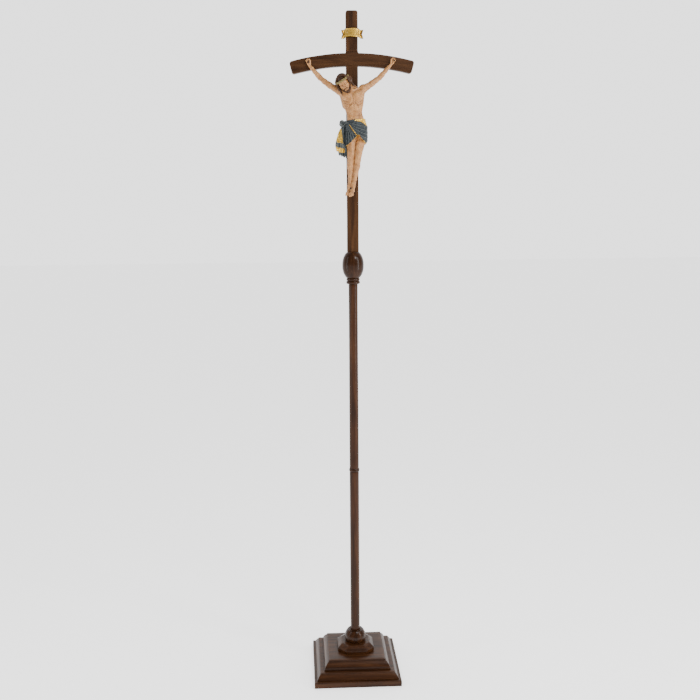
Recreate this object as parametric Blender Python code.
"""Processional cross on a stepped floor stand.

A turned wooden staff in two lengths stands in a round socket in a square
stepped base.  The upper length unscrews from the lower one at a turned ring.
A knob carries a flat wooden cross with an arched crossbeam, and a small carved
figure in coloured wood hangs on its front.

Metres, +Z up.  The origin is the middle of the underside of the base, and the
figure faces -Y.
"""

import bpy
import bmesh
from math import cos, sin, pi, sqrt, radians, asin, atan2
from mathutils import Vector, Matrix

for old in list(bpy.data.objects):
    bpy.data.objects.remove(old, do_unlink=True)

# --------------------------------------------------------------------------
# Driving dimensions
# --------------------------------------------------------------------------
GAP = 0.0003                  # clearance left between pieces that touch
SEG = 32                      # sides of a turned piece

HEIGHT = 2.200                # underside of the base to the top of the upright

SLAB_HALF = 0.1470            # bottom slab, square
SLAB_TOP = 0.0205
LOWER_TOP = 0.0425            # lower moulded board
UPPER_TOP = 0.0738            # upper moulded board
PLINTH_HALF = 0.0620          # block under the ball, corners cut
PLINTH_CUT = 0.0275
PLINTH_TOP = 0.0982
BALL_R = 0.0368
BALL_Z = 0.1116
BALL_TOP = 0.1385
TENON_R = 0.0220              # turned spigot under the ball
SOCKET_R = 0.0164             # bore that the staff stands in

STAFF_R = 0.0160              # lower length of the staff
SPLIT_Z = 0.7093              # top of the lower length
RING_TOP = 0.7215
RING_R = 0.0180
UPPER_POLE_TOP = 1.3467

STUD_R = 0.0080               # threaded stud that joins the two lengths
STUD_LOW = 0.6480
STUD_TOP = 0.7570
PITCH = 0.0050                # rise of the upper length for each turn
TURNS = 6.0

COLLAR_TOP = 1.3662
KNOB_Z = 1.4085
KNOB_R = 0.0354
KNOB_TOP = 1.4510
ROD_R = 0.0050                # rod from the pole through the knob to the cross

UPRIGHT_HALF = 0.01875
BAR_HALF_T = 0.0105           # half the thickness of upright and crossbeam
BEAM_HALF_SPAN = 0.1978
BEAM_R = 0.7525               # radius of the arch, at the middle of the beam
BEAM_MID_Z = 2.0527
BEAM_HALF_H = 0.0199
BLOCK_RISE = 0.0040           # raised block of the beam at the crossing


# --------------------------------------------------------------------------
# Helpers
# --------------------------------------------------------------------------
def material(name, colour, roughness, metallic=0.0):
    m = bpy.data.materials.new(name)
    m.use_nodes = True
    b = m.node_tree.nodes["Principled BSDF"]
    b.inputs["Base Color"].default_value = (*colour, 1.0)
    b.inputs["Roughness"].default_value = roughness
    b.inputs["Metallic"].default_value = metallic
    m.diffuse_color = (*colour, 1.0)
    return m


WALNUT = (0.105, 0.055, 0.028)
PALE_WOOD = (0.42, 0.28, 0.15)
SKIN = (0.78, 0.56, 0.38)
CLOTH = (0.13, 0.17, 0.20)
GOLD = (0.72, 0.50, 0.13)
THORN = (0.28, 0.23, 0.08)
STEEL = (0.42, 0.42, 0.43)
BRASS = (0.62, 0.46, 0.20)
IRON = (0.10, 0.09, 0.08)
LEATHER = (0.20, 0.11, 0.06)


def finish(name, bm, colour, roughness, metallic=0.0, smooth=True, angle=35,
           parent=None):
    """Closes a bmesh into a named object with its own material."""
    bmesh.ops.recalc_face_normals(bm, faces=bm.faces)
    me = bpy.data.meshes.new(name)
    bm.to_mesh(me)
    bm.free()
    me.materials.append(material(name + "_material", colour, roughness, metallic))
    if smooth:
        me.shade_smooth()
        me.set_sharp_from_angle(angle=radians(angle))
    ob = bpy.data.objects.new(name, me)
    bpy.context.scene.collection.objects.link(ob)
    if parent is not None:
        ob.parent = parent
        ob.matrix_parent_inverse = Matrix.Translation(-parent.location)
    return ob


def loft(bm, rings, closed=False):
    """Skins a list of rings of points. With closed, the last ring meets the
    first and there are no end caps."""
    rows = [[bm.verts.new(p) for p in ring] for ring in rings]
    n = len(rows[0])
    pairs = list(zip(rows, rows[1:])) + ([(rows[-1], rows[0])] if closed else [])
    for low, high in pairs:
        for i in range(n):
            k = (i + 1) % n
            bm.faces.new((low[i], low[k], high[k], high[i]))
    if not closed:
        bm.faces.new(list(reversed(rows[0])))
        bm.faces.new(rows[-1])
    return rows


def circle(r, z, n=SEG, x=0.0, y=0.0):
    return [(x + r * cos(2 * pi * i / n), y + r * sin(2 * pi * i / n), z)
            for i in range(n)]


def turned(profile, n=SEG, bored=False):
    """A turned solid about Z from (radius, height) pairs. With bored, the
    profile is a closed outline that goes round the wall of a hollow piece."""
    bm = bmesh.new()
    loft(bm, [circle(r, z, n) for r, z in profile], closed=bored)
    return bm


def square(half, z):
    return [(half, -half, z), (half, half, z), (-half, half, z), (-half, -half, z)]


def cut_square(half, cut, z):
    """A square with its corners cut off, as eight points."""
    c = half - cut
    return [(half, -c, z), (half, c, z), (c, half, z), (-c, half, z),
            (-half, c, z), (-half, -c, z), (-c, -half, z), (c, -half, z)]


def cutter(name, bm, at=(0, 0, 0), turn=None):
    """A tool body for a Boolean: it is a guide, not a piece of the object."""
    bmesh.ops.recalc_face_normals(bm, faces=bm.faces)
    me = bpy.data.meshes.new(name)
    bm.to_mesh(me)
    bm.free()
    if turn is not None:
        me.transform(turn)
    me.transform(Matrix.Translation(at))
    ob = bpy.data.objects.new(name, me)
    bpy.context.scene.collection.objects.link(ob)
    ob.hide_render = True
    ob.display_type = 'WIRE'
    return ob


def cut(ob, tool):
    m = ob.modifiers.new("cut_" + tool.name, 'BOOLEAN')
    m.operation = 'DIFFERENCE'
    m.solver = 'EXACT'
    m.object = tool


drilled = {}                  # holes to drill, by the name of the piece


def drill(ob, tool):
    """Notes a hole. A piece's holes are drilled together, by one Boolean."""
    drilled.setdefault(ob.name, []).append(tool)


def drill_all():
    for name, tools in drilled.items():
        bm = bmesh.new()
        for t in tools:
            bm.from_mesh(t.data)
        cut(bpy.data.objects[name], cutter("holes_" + name, bm))


def unite(ob, tool):
    m = ob.modifiers.new("unite_" + tool.name, 'BOOLEAN')
    m.operation = 'UNION'
    m.solver = 'EXACT'
    m.object = tool


def limb(rings, n=14, cap=0.0):
    """A limb through (centre, half width, half depth, tilt) rings, each square
    to the line through its neighbours. Half width lies along the ring's own
    sideways direction, half depth towards the front."""
    bm = bmesh.new()
    pts = [Vector(r[0]) for r in rings]
    out = []
    for k, (c, a, b) in enumerate(rings):
        t = (pts[min(k + 1, len(pts) - 1)] - pts[max(k - 1, 0)]).normalized()
        front = Vector((0, -1, 0))
        front = (front - t * front.dot(t)).normalized()
        side = front.cross(t).normalized()
        out.append([tuple(Vector(c) + side * (a * cos(2 * pi * i / n))
                          + front * (b * sin(2 * pi * i / n))) for i in range(n)])
    loft(bm, out)
    return bm


def along_y():
    """Turns a piece made along +Z so that it runs along -Y."""
    return Matrix.Rotation(radians(90), 4, 'X')


def screw_body(length, shank, head_r, head_h, n=12):
    """A countersunk wood screw, tip up, head face at z = 0."""
    return [(head_r, 0.0), (head_r, 0.0004), (shank, head_h),
            (shank, length - 0.004), (shank * 0.25, length)]


def screw_hole(length, shank, head_r, head_h, out=0.002):
    g = GAP
    return [(head_r + g, -out), (head_r + g, 0.0004), (shank + g, head_h + g),
            (shank + g, length + g)]


# --------------------------------------------------------------------------
# Empties on the axes of the moving groups
# --------------------------------------------------------------------------
def axis_empty(name, z):
    e = bpy.data.objects.new(name, None)
    e.location = (0, 0, z)
    bpy.context.scene.collection.objects.link(e)
    return e


turn_axis = axis_empty("axis_staff_turn", LOWER_TOP)
lift_axis = axis_empty("axis_staff_lift", LOWER_TOP)
ring_axis = axis_empty("axis_ring_rise", SPLIT_Z)
head_axis = axis_empty("axis_unscrew", SPLIT_Z)

# --------------------------------------------------------------------------
# The stand
# --------------------------------------------------------------------------
bm = bmesh.new()
loft(bm, [square(SLAB_HALF - 0.0010, 0.0), square(SLAB_HALF, 0.0010),
          square(SLAB_HALF, SLAB_TOP - 0.0020),
          square(SLAB_HALF - 0.0016, SLAB_TOP - GAP)])
base_slab = finish("base_slab", bm, WALNUT, 0.35, smooth=False)

# The edge of the lower board is a long hollow-and-round moulding.
LOWER_EDGE = [(0.1378, SLAB_TOP), (0.1378, 0.0240), (0.1362, 0.0272),
              (0.1335, 0.0308), (0.1308, 0.0346), (0.1287, 0.0378),
              (0.1268, 0.0396), (0.1258, 0.0407), (0.1258, LOWER_TOP - GAP)]
bm = bmesh.new()
loft(bm, [square(h, z) for h, z in LOWER_EDGE])
lower_moulding_board = finish("lower_moulding_board", bm, WALNUT, 0.35, smooth=False)

# The upper board has a quirk above its foot and another below its top edge.
UPPER_EDGE = [(0.1128, LOWER_TOP), (0.1128, 0.0470), (0.1106, 0.0477),
              (0.1095, 0.0524), (0.1072, 0.0580), (0.1036, 0.0630),
              (0.1002, 0.0662), (0.0986, 0.0683), (0.0966, 0.0688),
              (0.0966, UPPER_TOP - GAP)]
bm = bmesh.new()
loft(bm, [square(h, z) for h, z in UPPER_EDGE])
upper_moulding_board = finish("upper_moulding_board", bm, WALNUT, 0.35, smooth=False)

bm = bmesh.new()
loft(bm, [cut_square(PLINTH_HALF, PLINTH_CUT, UPPER_TOP),
          cut_square(PLINTH_HALF, PLINTH_CUT, UPPER_TOP + 0.0120),
          cut_square(PLINTH_HALF - 0.0095, PLINTH_CUT - 0.0040, PLINTH_TOP - 0.0040),
          cut_square(PLINTH_HALF - 0.0160, PLINTH_CUT - 0.0065, PLINTH_TOP)])
plinth_block = finish("plinth_block", bm, WALNUT, 0.30, smooth=False)

# The ball is turned in one with its spigot, and bored for the staff.
outline = [(SOCKET_R, UPPER_TOP + 0.0010), (TENON_R, UPPER_TOP + 0.0010),
           (TENON_R, PLINTH_TOP + 0.0006), (0.0262, PLINTH_TOP + 0.0006),
           (0.0270, PLINTH_TOP + 0.0018)]
a0 = -0.55
a1 = atan2(BALL_TOP - 0.0016 - BALL_Z, sqrt(BALL_R ** 2 - (BALL_TOP - 0.0016 - BALL_Z) ** 2))
STEPS = 11
low_z = BALL_Z + BALL_R * sin(a0) * 0.55
for i in range(STEPS + 1):
    a = -0.33 + (a1 + 0.33) * i / STEPS
    outline.append((BALL_R * cos(a), BALL_Z + BALL_R * sin(a)))
outline += [(0.0196, BALL_TOP), (SOCKET_R + 0.0006, BALL_TOP), (SOCKET_R, BALL_TOP - 0.0008)]
socket_ball = finish("socket_ball", turned(outline, bored=True), WALNUT, 0.18)

# Bore of the socket, down to the top of the lower board.
cut(upper_moulding_board, cutter("tool_socket_bore", turned(
    [(SOCKET_R, LOWER_TOP - 0.001), (SOCKET_R, UPPER_TOP + 0.001)])))
cut(plinth_block, cutter("tool_spigot_bore", turned(
    [(TENON_R + GAP * 1.4, UPPER_TOP - 0.001), (TENON_R + GAP * 1.4, PLINTH_TOP + 0.001)])))

# Four wood screws clamp slab, lower board and upper board from below, and two
# more hold the plinth block.
BASE_SCREW = dict(length=0.0580, shank=0.0022, head_r=0.0045, head_h=0.0034)
PLINTH_SCREW = dict(length=0.0440, shank=0.0020, head_r=0.0040, head_h=0.0030)
RECESS = 0.0010
k = 0
for sx, sy in ((-1, -1), (1, -1), (1, 1), (-1, 1)):
    k += 1
    at = Vector((sx * 0.080, sy * 0.080, RECESS))
    bm = turned(screw_body(**BASE_SCREW), n=12)
    bmesh.ops.translate(bm, verts=bm.verts, vec=at)
    finish("base_screw_%d" % k, bm, STEEL, 0.35, 1.0)
    tool = cutter("tool_base_screw_%d" % k, turned(screw_hole(**BASE_SCREW), n=12), at=at)
    for ob in (base_slab, lower_moulding_board, upper_moulding_board):
        drill(ob, tool)
k = 0
for sx in (-1, 1):
    k += 1
    at = Vector((sx * 0.044, 0.0, LOWER_TOP + RECESS))
    bm = turned(screw_body(**PLINTH_SCREW), n=12)
    bmesh.ops.translate(bm, verts=bm.verts, vec=at)
    finish("plinth_screw_%d" % k, bm, STEEL, 0.35, 1.0)
    tool = cutter("tool_plinth_screw_%d" % k,
                  turned(screw_hole(out=0.0011, **PLINTH_SCREW), n=12), at=at)
    drill(upper_moulding_board, tool)
    drill(plinth_block, tool)

# --------------------------------------------------------------------------
# The staff
# --------------------------------------------------------------------------
PAD_LOW = LOWER_TOP + 0.0001
PAD_TOP = PAD_LOW + 0.0020
rest_pad = finish("rest_pad", turned([(0.0150, PAD_LOW), (0.0150, PAD_TOP)], n=24),
                  LEATHER, 0.8, parent=turn_axis)

foot = PAD_TOP + GAP
lower_pole = finish("lower_pole", turned([
    (STAFF_R - 0.0015, foot), (STAFF_R, foot + 0.0015),
    (STAFF_R, 0.4), (STAFF_R, SPLIT_Z - 0.0008), (STAFF_R - 0.0008, SPLIT_Z)]),
    WALNUT, 0.28, parent=lift_axis)
cut(lower_pole, cutter("tool_stud_bore", turned(
    [(STUD_R + GAP, STUD_LOW - GAP), (STUD_R + GAP, SPLIT_Z + 0.002)], n=24)))
coupling_stud = finish("coupling_stud", turned([
    (STUD_R - 0.0012, STUD_LOW), (STUD_R, STUD_LOW + 0.0012),
    (STUD_R, STUD_TOP - 0.0020), (STUD_R - 0.0020, STUD_TOP)], n=24),
    BRASS, 0.35, 1.0, parent=lift_axis)

# The ring is a turned bead, loose on the stud, clamped between the lengths.
ring_low = SPLIT_Z + GAP
mid = (ring_low + RING_TOP) / 2
half = (RING_TOP - ring_low) / 2
outline = [(STUD_R + 0.0005, ring_low), (0.0160, ring_low)]
for i in range(1, 8):
    a = -pi / 2 + pi * i / 8
    outline.append((0.0160 + (RING_R - 0.0160) * cos(a), mid + half * 0.98 * sin(a)))
outline += [(0.0160, RING_TOP), (STUD_R + 0.0005, RING_TOP)]
coupling_ring = finish("coupling_ring", turned(outline, bored=True),
                       WALNUT, 0.25, parent=ring_axis)

pole_low = RING_TOP + GAP
INSERT_R = 0.0120
INSERT_TOP = 0.7585
upper_pole = finish("upper_pole", turned([
    (0.0150, pole_low), (0.0157, pole_low + 0.0008), (0.0157, 0.760),
    (0.0154, 0.930), (0.0150, 1.110), (0.0149, 1.200), (0.0149, 1.280),
    (0.0151, UPPER_POLE_TOP)]), WALNUT, 0.28, parent=head_axis)
cut(upper_pole, cutter("tool_insert_bore", turned(
    [(INSERT_R + GAP, pole_low - 0.002), (INSERT_R + GAP, INSERT_TOP + GAP),
     (0.0060, INSERT_TOP + 0.0045)], n=24)))
upper_insert = finish("upper_insert", turned([
    (STUD_R + 0.0004, pole_low + 0.0003), (INSERT_R, pole_low + 0.0003),
    (INSERT_R, INSERT_TOP), (STUD_R + 0.0004, INSERT_TOP)], n=24, bored=True),
    BRASS, 0.35, 1.0, parent=head_axis)

# --------------------------------------------------------------------------
# Knob and its collar, on a rod that ties the pole to the cross
# --------------------------------------------------------------------------
ROD_LOW, ROD_TOP = 1.3070, 1.4920
BORE = ROD_R + GAP
head_rod = finish("head_rod", turned([
    (ROD_R - 0.0008, ROD_LOW), (ROD_R, ROD_LOW + 0.0008),
    (ROD_R, ROD_TOP - 0.0008), (ROD_R - 0.0008, ROD_TOP)], n=20),
    STEEL, 0.35, 1.0, parent=head_axis)
rod_tool = cutter("tool_rod_bore", turned(
    [(BORE, ROD_LOW - GAP), (BORE, ROD_TOP + GAP)], n=20))
cut(upper_pole, rod_tool)

collar_low = UPPER_POLE_TOP + GAP
outline = [(BORE, collar_low), (0.0205, collar_low)]
for base_z, h, r in ((collar_low, 0.0104, 0.0225), (collar_low + 0.0109, 0.0083, 0.02175)):
    for i in range(0 if base_z > collar_low else 1, 6 if base_z > collar_low else 7):
        a = -pi / 2 + pi * i / 6
        outline.append((r - 0.0020 + 0.0020 * cos(a), base_z + h / 2 + h / 2 * sin(a)))
outline += [(0.0195, COLLAR_TOP), (BORE, COLLAR_TOP)]
knob_collar = finish("knob_collar", turned(outline, bored=True), WALNUT, 0.22,
                     parent=head_axis)


def egg(z_low, z_high, steps, half_h, power):
    pts = []
    for i in range(steps + 1):
        u = -1 + 2 * i / steps
        z = KNOB_Z + (z_high - z_low) / 2 * sin(u * pi / 2) + ((z_high + z_low) / 2 - KNOB_Z)
        s = abs((z - KNOB_Z) / half_h)
        pts.append((KNOB_R * max(0.0, 1 - s ** power) ** (1 / power), z))
    return pts


knob_low = COLLAR_TOP + GAP
outline = [(BORE, knob_low)] + egg(knob_low, KNOB_TOP, 12, 0.0495, 2.2) + [(BORE, KNOB_TOP)]
knob = finish("knob", turned(outline, bored=True), WALNUT, 0.15, parent=head_axis)

# --------------------------------------------------------------------------
# The cross: upright and arched crossbeam, half lapped, both of one thickness
# --------------------------------------------------------------------------
def rounded_bar(bm, outline, y0, y1, edge):
    """Extrudes a closed outline in X-Z from y0 to y1 with bevelled rims.
    outline: (x, z, inward x, inward z)"""
    def ring(y, inset):
        return [(x + ix * inset, y, z + iz * inset) for x, z, ix, iz in outline]
    loft(bm, [ring(y0, edge), ring(y0 + edge, 0.0), ring(y1 - edge, 0.0), ring(y1, edge)])


up_low = KNOB_TOP + GAP
w, r = UPRIGHT_HALF, 0.0065
outline = [(-w, up_low, 1, 0.3), (w, up_low, -1, 0.3)]
for i in range(6):
    a = (pi / 2) * i / 5
    outline.append((w - r + r * cos(a), HEIGHT - r + r * sin(a), -cos(a), -sin(a)))
for i in range(6):
    a = pi / 2 + (pi / 2) * i / 5
    outline.append((-w + r + r * cos(a), HEIGHT - r + r * sin(a), -cos(a), -sin(a)))
bm = bmesh.new()
rounded_bar(bm, outline, -BAR_HALF_T, BAR_HALF_T, 0.0022)
upright = finish("upright", bm, WALNUT, 0.35, parent=head_axis, smooth=False)

centre_z = BEAM_MID_Z - BEAM_R
ang = asin(BEAM_HALF_SPAN / (BEAM_R + BEAM_HALF_H))


def beam_outline(half_h, inset=0.0, n=16):
    """The arched bar seen from the front, as points with inward directions."""
    pts = []
    ro, ri = BEAM_R + half_h, BEAM_R - half_h
    c = 0.0055
    for i in range(n + 1):                       # underside, left to right
        a = -ang + 2 * ang * i / n
        a = a * (1 - c / (BEAM_HALF_SPAN))
        pts.append((ri * sin(a), centre_z + ri * cos(a), sin(a), cos(a)))
    for s in (0.15, 0.5, 0.85):                  # right end with rounded corners
        k = abs(2 * s - 1) ** 2
        rr = ri + (ro - ri) * s
        a = ang * (1 - k * c * 0.25 / BEAM_HALF_SPAN)
        pts.append((rr * sin(a), centre_z + rr * cos(a), -cos(a), sin(a)))
    for i in range(n + 1):                       # top, right to left
        a = ang - 2 * ang * i / n
        a = a * (1 - c / (BEAM_HALF_SPAN))
        pts.append((ro * sin(a), centre_z + ro * cos(a), -sin(a), -cos(a)))
    for s in (0.85, 0.5, 0.15):
        k = abs(2 * s - 1) ** 2
        rr = ri + (ro - ri) * s
        a = -ang * (1 - k * c * 0.25 / BEAM_HALF_SPAN)
        pts.append((rr * sin(a), centre_z + rr * cos(a), cos(a), -sin(a)))
    return pts


bm = bmesh.new()
rounded_bar(bm, beam_outline(BEAM_HALF_H), -BAR_HALF_T, BAR_HALF_T, 0.0022)
crossbeam = finish("crossbeam", bm, WALNUT, 0.35, parent=head_axis, smooth=False)


def box_bm(x0, x1, y0, y1, z0, z1):
    bm = bmesh.new()
    loft(bm, [[(x0, y0, z), (x1, y0, z), (x1, y1, z), (x0, y1, z)] for z in (z0, z1)])
    return bm


# The raised block of the beam stands as wide as the upright.
block_top = BEAM_MID_Z + BEAM_HALF_H + BLOCK_RISE
unite(crossbeam, cutter("tool_crossing_block", box_bm(
    -w, w, -BAR_HALF_T, -GAP, BEAM_MID_Z - 0.012, block_top)))
# The beam loses its rear half at the crossing, the upright its front half.
cut(crossbeam, cutter("tool_lap_rear", box_bm(
    -w - GAP, w + GAP, -GAP / 2, BAR_HALF_T + 0.003, BEAM_MID_Z - 0.03, BEAM_MID_Z + 0.04)))
lap_low = BEAM_MID_Z - BEAM_HALF_H + 0.0020
cut(crossbeam, cutter("tool_lap_under", box_bm(
    -w - GAP, w + GAP, -BAR_HALF_T - 0.003, BAR_HALF_T + 0.003, BEAM_MID_Z - 0.04, lap_low + GAP)))
cut(upright, cutter("tool_lap_front", box_bm(
    -w - 0.003, w + 0.003, -BAR_HALF_T - 0.003, GAP / 2, lap_low, block_top + GAP)))
drill(upright, rod_tool)

LAP_SCREW = dict(length=0.0160, shank=0.0016, head_r=0.0034, head_h=0.0026)
for k, sx in ((1, -1), (2, 1)):
    at = Vector((sx * 0.0085, BAR_HALF_T - 0.0004, BEAM_MID_Z + sx * 0.009))
    bm = turned(screw_body(**LAP_SCREW), n=12)
    bmesh.ops.transform(bm, matrix=Matrix.Translation(at) @ along_y(), verts=bm.verts)
    finish("lap_screw_%d" % k, bm, STEEL, 0.35, 1.0, parent=head_axis)
    tool = cutter("tool_lap_screw_%d" % k, turned(screw_hole(**LAP_SCREW), n=12),
                  at=at, turn=along_y())
    drill(upright, tool)
    drill(crossbeam, tool)

# --------------------------------------------------------------------------
# Scroll above the crossing, gilded, on two pins
# --------------------------------------------------------------------------
SCROLL_T = 0.0022
SCROLL_Z = 2.1330
bm = bmesh.new()
front, back = [], []
N = 26
for i in range(N + 1):
    u = -1 + 2 * i / N
    x = 0.0010 + 0.0350 * u
    m = abs(u)
    # the panel bows forward, then the ends bend back and flick out again
    y = -BAR_HALF_T - 0.0006 - SCROLL_T - 0.0016 * max(0.0, 1 - (m / 0.52) ** 2)
    drop = 0.0 if m < 0.56 else 0.0042 * min(1.0, (m - 0.56) / 0.10)
    y += 0.0030 * (0.0 if m < 0.60 else sin(min(1.0, (m - 0.60) / 0.40) * pi))
    zc = SCROLL_Z - drop
    h = 0.0137
    front.append((x, y, zc, h))
rings = []
for x, y, zc, h in front:
    rings.append([(x, y, zc - h), (x, y + SCROLL_T, zc - h),
                  (x, y + SCROLL_T, zc + h), (x, y, zc + h)])
loft(bm, rings)
titulus = finish("titulus", bm, GOLD, 0.35, 0.8, parent=head_axis, angle=50)
# a notch in each end of the ribbon
for sx in (-1, 1):
    xe = 0.0010 + sx * 0.0350
    mz = SCROLL_Z - 0.0042
    tip = [(xe + sx * 0.002, mz + 0.0096), (xe - sx * 0.0070, mz),
           (xe + sx * 0.002, mz - 0.0096)]
    b2 = bmesh.new()
    loft(b2, [[(x, y, z) for x, z in tip] for y in (-0.030, 0.0)])
    cut(titulus, cutter("tool_ribbon_notch_%s" % ("l" if sx < 0 else "r"), b2))

PIN = [(0.0016, 0.0), (0.0016, 0.0006), (0.0006, 0.0008), (0.0006, 0.0100), (0.0003, 0.0112)]
PIN_HOLE = [(0.0009, -0.004), (0.0009, 0.0112)]
for k, sx in ((1, -1), (2, 1)):
    at = Vector((sx * 0.0150, -0.01540, SCROLL_Z))
    # the pin runs back from its head towards the upright
    turn = Matrix.Rotation(radians(-90), 4, 'X')
    bm = turned(PIN, n=10)
    bmesh.ops.transform(bm, matrix=Matrix.Translation(at) @ turn, verts=bm.verts)
    finish("titulus_pin_%d" % k, bm, BRASS, 0.3, 1.0, parent=head_axis)
    tool = cutter("tool_titulus_pin_%d" % k, turned(PIN_HOLE, n=10), at=at, turn=turn)
    drill(titulus, tool)
    drill(upright, tool)

# --------------------------------------------------------------------------
# The carved figure
# --------------------------------------------------------------------------
def section(cx, cy, z, a, b, n=18, lean=(0, 0)):
    """An oval level section. lean tips it: rise per metre along X and Y."""
    out = []
    for i in range(n):
        t = 2 * pi * i / n
        dx, dy = a * cos(t), b * sin(t)
        out.append((cx + dx, cy + dy, z + lean[0] * dx + lean[1] * dy))
    return out


BACK = -BAR_HALF_T - GAP      # front face of the cross, less the gap
HIP_TOP, HIP_LOW = 1.8660, 1.7980

torso_rows = [
    # centre x, centre y, z, half width, half depth
    (0.0085, -0.0300, HIP_TOP + GAP, 0.0265, 0.0170),
    (0.0060, -0.0305, 1.8770, 0.0245, 0.0170),
    (0.0040, -0.0320, 1.8930, 0.0275, 0.0185),
    (0.0020, -0.0335, 1.9100, 0.0330, 0.0205),
    (0.0005, -0.0340, 1.9270, 0.0368, 0.0215),
    (-0.0020, -0.0335, 1.9420, 0.0400, 0.0205),
    (-0.0040, -0.0320, 1.9530, 0.0390, 0.0175),
    (-0.0050, -0.0315, 1.9620, 0.0300, 0.0130),
    (-0.0070, -0.0330, 1.9670, 0.0150, 0.0110),
    (-0.0120, -0.0370, 1.9730, 0.0120, 0.0110),
]
bm = bmesh.new()
loft(bm, [section(*row) for row in torso_rows])
corpus_torso = finish("corpus_torso", bm, SKIN, 0.5, parent=head_axis, angle=80)

# The head is a plain egg, bowed forward and to one side.
HEAD_C = Vector((-0.0275, -0.0460, 1.9780))
HEAD_HALF = (0.0215, 0.0245, 0.0310)
head_turn = Matrix.Rotation(radians(-22), 3, 'Y') @ Matrix.Rotation(radians(14), 3, 'X')


def egg_body(extra, n=16, rows=9):
    bm = bmesh.new()
    rings = []
    for k in range(rows):
        v = -pi / 2 * 0.92 + pi * 0.92 * k / (rows - 1)
        ring = []
        for i in range(n):
            t = 2 * pi * i / n
            p = Vector(((HEAD_HALF[0] + extra) * cos(v) * cos(t),
                        (HEAD_HALF[1] + extra) * cos(v) * sin(t),
                        (HEAD_HALF[2] + extra) * sin(v)))
            ring.append(tuple(HEAD_C + head_turn @ p))
        rings.append(ring)
    loft(bm, rings)
    return bm


unite(corpus_torso, cutter("tool_head", egg_body(0.0)))

# Crown of thorns: a twisted band, tilted with the head.
CROWN_C = HEAD_C + head_turn @ Vector((0.0, 0.0, 0.0075))
tilt = head_turn @ Matrix.Rotation(radians(-8), 3, 'Y')
bm = bmesh.new()
NT = 24
rings = []
for i in range(NT):
    t = 2 * pi * i / NT
    ring = []
    for j in range(6):
        p = 2 * pi * j / 6
        rad_a = 0.0228 + 0.0024 * cos(p)
        rad_b = 0.0256 + 0.0024 * cos(p)
        v = Vector((rad_a * cos(t), rad_b * sin(t), 0.0030 * sin(p)))
        ring.append(tuple(CROWN_C + tilt @ v))
    rings.append(ring)
loft(bm, rings, closed=True)
crown_of_thorns = finish("crown_of_thorns", bm, THORN, 0.6, parent=head_axis, angle=80)

# Arms, dowelled to the shoulders.
ARM_L = [
    (Vector((-0.0365, -0.0305, 1.9500)), 0.0098, 0.0112),
    (Vector((-0.0490, -0.0300, 1.9575)), 0.0096, 0.0108),
    (Vector((-0.0640, -0.0285, 1.9665)), 0.0090, 0.0096),
    (Vector((-0.0820, -0.0255, 1.9790)), 0.0084, 0.0086),
    (Vector((-0.0990, -0.0215, 1.9935)), 0.0072, 0.0076),
    (Vector((-0.1110, -0.0200, 2.0065)), 0.0078, 0.0072),
    (Vector((-0.1240, -0.0180, 2.0220)), 0.0058, 0.0056),
    (Vector((-0.1315, -0.0165, 2.0320)), 0.0050, 0.0042),
    (Vector((-0.1365, -0.0160, 2.0400)), 0.0085, 0.0040),
    (Vector((-0.1395, -0.0165, 2.0475)), 0.0088, 0.0045),
    (Vector((-0.1415, -0.0180, 2.0540)), 0.0070, 0.0045),
    (Vector((-0.1420, -0.0210, 2.0580)), 0.0045, 0.0030),
]
ARM_R = [
    (Vector((0.0300, -0.0305, 1.9560)), 0.0098, 0.0112),
    (Vector((0.0410, -0.0300, 1.9630)), 0.0096, 0.0108),
    (Vector((0.0540, -0.0285, 1.9725)), 0.0090, 0.0096),
    (Vector((0.0690, -0.0255, 1.9830)), 0.0084, 0.0086),
    (Vector((0.0850, -0.0215, 1.9940)), 0.0072, 0.0076),
    (Vector((0.0960, -0.0200, 2.0060)), 0.0078, 0.0072),
    (Vector((0.1110, -0.0180, 2.0230)), 0.0058, 0.0056),
    (Vector((0.1215, -0.0165, 2.0345)), 0.0050, 0.0042),
    (Vector((0.1290, -0.0160, 2.0440)), 0.0085, 0.0040),
    (Vector((0.1345, -0.0165, 2.0525)), 0.0088, 0.0045),
    (Vector((0.1385, -0.0180, 2.0600)), 0.0070, 0.0045),
    (Vector((0.1405, -0.0210, 2.0650)), 0.0045, 0.0030),
]
arms = {}
for name, rows in (("corpus_arm_left", ARM_L), ("corpus_arm_right", ARM_R)):
    arms[name] = finish(name, limb(rows, n=12), SKIN, 0.5, parent=head_axis, angle=80)

# The torso is hollowed by the arm roots and the gap round them, so that each
# arm beds in a shallow seat.
for name, rows in (("corpus_arm_left", ARM_L), ("corpus_arm_right", ARM_R)):
    seat = [(c.copy(), a + 0.0004, b + 0.0004) for c, a, b in rows[:3]]
    d = (rows[1][0] - rows[0][0]).normalized()
    seat[0] = (rows[0][0] - d * 0.0004, seat[0][1], seat[0][2])
    cut(corpus_torso, cutter("tool_seat_" + name, limb(seat, n=12)))
    # dowel along the arm's root
    dowel_r, start, end = 0.0028, -0.0090, 0.0090
    turn = d.to_track_quat('Z', 'Y').to_matrix().to_4x4()
    bm = turned([(dowel_r - 0.0005, start), (dowel_r, start + 0.0005),
                 (dowel_r, end - 0.0005), (dowel_r - 0.0005, end)], n=12)
    bmesh.ops.transform(bm, matrix=Matrix.Translation(rows[0][0]) @ turn, verts=bm.verts)
    finish(name.replace("corpus_arm", "arm_dowel"), bm, PALE_WOOD, 0.6, parent=head_axis)
    tool = cutter("tool_dowel_" + name, turned(
        [(dowel_r + GAP, start - GAP), (dowel_r + GAP, end + GAP)], n=12),
        at=rows[0][0], turn=turn)
    cut(corpus_torso, tool)
    cut(arms[name], tool)

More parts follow.
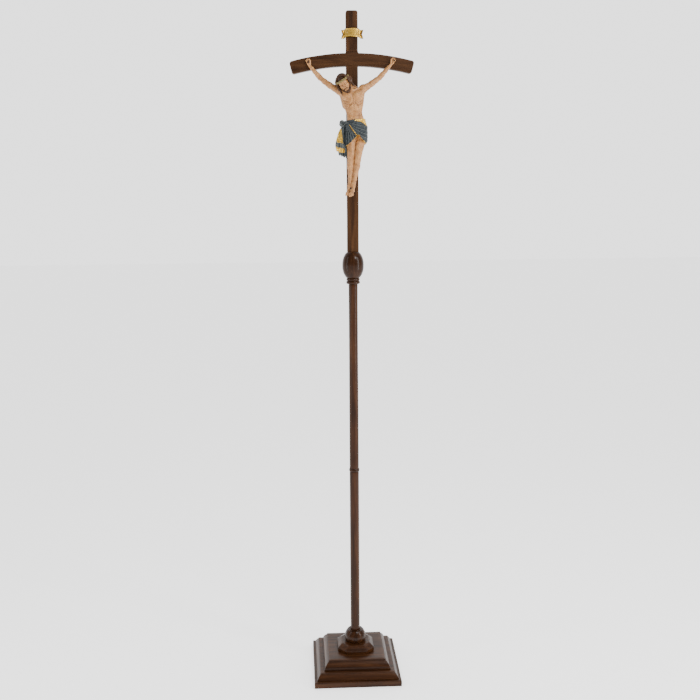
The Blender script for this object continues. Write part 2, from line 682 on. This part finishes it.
# Hips with the draped cloth, carved as one block.
hip_rows = [
    (0.0110, -0.0300, HIP_LOW, 0.0320, 0.0180),
    (0.0108, -0.0305, 1.8100, 0.0335, 0.0190),
    (0.0106, -0.0310, 1.8250, 0.0345, 0.0195),
    (0.0105, -0.0310, 1.8400, 0.0350, 0.0195),
    (0.0100, -0.0310, 1.8540, 0.0340, 0.0195),
    (0.0085, -0.0305, HIP_TOP - GAP, 0.0300, 0.0185),
]
bm = bmesh.new()
loft(bm, [section(*row) for row in hip_rows])
corpus_loincloth = finish("corpus_loincloth", bm, CLOTH, 0.5, parent=head_axis, angle=80)

# The knot and hanging end of the cloth at one hip.
fall_rows = [
    (Vector((-0.0250, -0.0300, 1.8670)), 0.0060, 0.0060),
    (Vector((-0.0275, -0.0300, 1.8600)), 0.0075, 0.0095),
    (Vector((-0.0285, -0.0300, 1.8480)), 0.0065, 0.0090),
    (Vector((-0.0330, -0.0300, 1.8250)), 0.0105, 0.0085),
    (Vector((-0.0345, -0.0300, 1.8000)), 0.0125, 0.0085),
    (Vector((-0.0335, -0.0300, 1.7780)), 0.0135, 0.0085),
    (Vector((-0.0300, -0.0300, 1.7560)), 0.0110, 0.0060),
]
fall = limb(fall_rows, n=12)
loincloth_fall = finish("loincloth_fall", fall, CLOTH, 0.5, parent=head_axis, angle=80)
hip_clear = cutter("tool_hip_clearance", (lambda b: (loft(b, [
    section(x, y, z, a + GAP * 1.5, d + GAP * 1.5) for x, y, z, a, d in
    [(hip_rows[0][0], hip_rows[0][1], HIP_LOW - 0.001, hip_rows[0][3], hip_rows[0][4])]
    + hip_rows[1:-1]
    + [(hip_rows[-1][0], hip_rows[-1][1], HIP_TOP + 0.001, hip_rows[-1][3], hip_rows[-1][4])]
]), b)[1])(bmesh.new()))
cut(loincloth_fall, hip_clear)

# Legs, one block: thighs meet under the cloth, feet cross at the nail.
LEG_L = [
    (Vector((-0.0030, -0.0300, HIP_LOW - GAP)), 0.0150, 0.0150),
    (Vector((-0.0045, -0.0330, 1.7850)), 0.0140, 0.0140),
    (Vector((-0.0060, -0.0370, 1.7680)), 0.0120, 0.0125),
    (Vector((-0.0070, -0.0390, 1.7560)), 0.0110, 0.0120),
    (Vector((-0.0072, -0.0350, 1.7350)), 0.0105, 0.0120),
    (Vector((-0.0074, -0.0300, 1.7130)), 0.0095, 0.0110),
    (Vector((-0.0078, -0.0260, 1.6880)), 0.0070, 0.0080),
    (Vector((-0.0085, -0.0240, 1.6690)), 0.0062, 0.0075),
    (Vector((-0.0105, -0.0265, 1.6570)), 0.0080, 0.0085),
    (Vector((-0.0125, -0.0300, 1.6450)), 0.0090, 0.0075),
    (Vector((-0.0140, -0.0330, 1.6350)), 0.0095, 0.0055),
    (Vector((-0.0150, -0.0350, 1.6290)), 0.0070, 0.0035),
]
LEG_R = [
    (Vector((0.0260, -0.0300, HIP_LOW - GAP)), 0.0150, 0.0150),
    (Vector((0.0235, -0.0330, 1.7850)), 0.0140, 0.0140),
    (Vector((0.0195, -0.0370, 1.7680)), 0.0120, 0.0125),
    (Vector((0.0170, -0.0390, 1.7560)), 0.0110, 0.0120),
    (Vector((0.0145, -0.0350, 1.7350)), 0.0105, 0.0120),
    (Vector((0.0120, -0.0300, 1.7130)), 0.0095, 0.0110),
    (Vector((0.0080, -0.0270, 1.6880)), 0.0070, 0.0080),
    (Vector((0.0045, -0.0270, 1.6690)), 0.0062, 0.0075),
    (Vector((0.0025, -0.0300, 1.6570)), 0.0080, 0.0085),
    (Vector((0.0010, -0.0335, 1.6450)), 0.0080, 0.0070),
    (Vector((0.0000, -0.0360, 1.6350)), 0.0070, 0.0050),
    (Vector((-0.0005, -0.0380, 1.6290)), 0.0055, 0.0035),
]
corpus_legs = finish("corpus_legs", limb(LEG_L, n=14), SKIN, 0.5, parent=head_axis, angle=80)
unite(corpus_legs, cutter("tool_second_leg", limb(LEG_R, n=14)))
# The thighs' top is cut level, clear of the hips.
cut(corpus_legs, cutter("tool_thigh_top", box_bm(
    -0.08, 0.08, -0.08, 0.02, HIP_LOW - GAP, HIP_LOW + 0.04)))
cut(loincloth_fall, cutter("tool_leg_clearance", box_bm(
    -0.0195, 0.05, -0.08, 0.02, 1.70, HIP_LOW)))

# Everything carved stays clear of the front face of the cross.
face_plane = cutter("tool_cross_face", box_bm(-0.25, 0.25, BACK, 0.05, 1.5, 2.3))
for ob in (corpus_torso, corpus_legs, corpus_loincloth, loincloth_fall,
           *arms.values()):
    cut(ob, face_plane)
# The crown clears the head by the space it is sprung over.
head_clear = cutter("tool_crown_clear", egg_body(0.0006))
cut(crown_of_thorns, head_clear)

# --------------------------------------------------------------------------
# Nails, and the screw that holds the figure from behind
# --------------------------------------------------------------------------
def nail(name, at, length, owners):
    turn = Matrix.Rotation(radians(-90), 4, 'X')      # head towards the front
    body = [(0.0028, 0.0), (0.0032, 0.0010), (0.0014, 0.0018),
            (0.0014, length - 0.0025), (0.0004, length)]
    bm = turned(body, n=10)
    bmesh.ops.transform(bm, matrix=Matrix.Translation(at) @ turn, verts=bm.verts)
    finish(name, bm, IRON, 0.5, 1.0, parent=head_axis)
    tool = cutter("tool_" + name, turned(
        [(0.0036, -0.010), (0.0036, 0.0013), (0.0018, 0.0021), (0.0018, length + GAP)],
        n=10), at=at, turn=turn)
    for ob in owners:
        drill(ob, tool)


nail("hand_nail_left", Vector((-0.1378, -0.0205, 2.0430)), 0.0160,
     (arms["corpus_arm_left"], crossbeam))
nail("hand_nail_right", Vector((0.1322, -0.0205, 2.0485)), 0.0160,
     (arms["corpus_arm_right"], crossbeam))
nail("feet_nail", Vector((-0.0045, -0.0400, 1.6540)), 0.0350, (corpus_legs, upright))

CORPUS_SCREW = dict(length=0.0360, shank=0.0020, head_r=0.0040, head_h=0.0030)
for k, (sx, sz) in enumerate(((0.008, 1.8420), (0.004, 1.9300)), 1):
    at = Vector((sx, BAR_HALF_T - 0.0004, sz))
    bm = turned(screw_body(**CORPUS_SCREW), n=12)
    bmesh.ops.transform(bm, matrix=Matrix.Translation(at) @ along_y(), verts=bm.verts)
    finish("corpus_screw_%d" % k, bm, STEEL, 0.35, 1.0, parent=head_axis)
    tool = cutter("tool_corpus_screw_%d" % k, turned(screw_hole(**CORPUS_SCREW), n=12),
                  at=at, turn=along_y())
    drill(upright, tool)
    drill(corpus_loincloth if k == 1 else corpus_torso, tool)

drill_all()
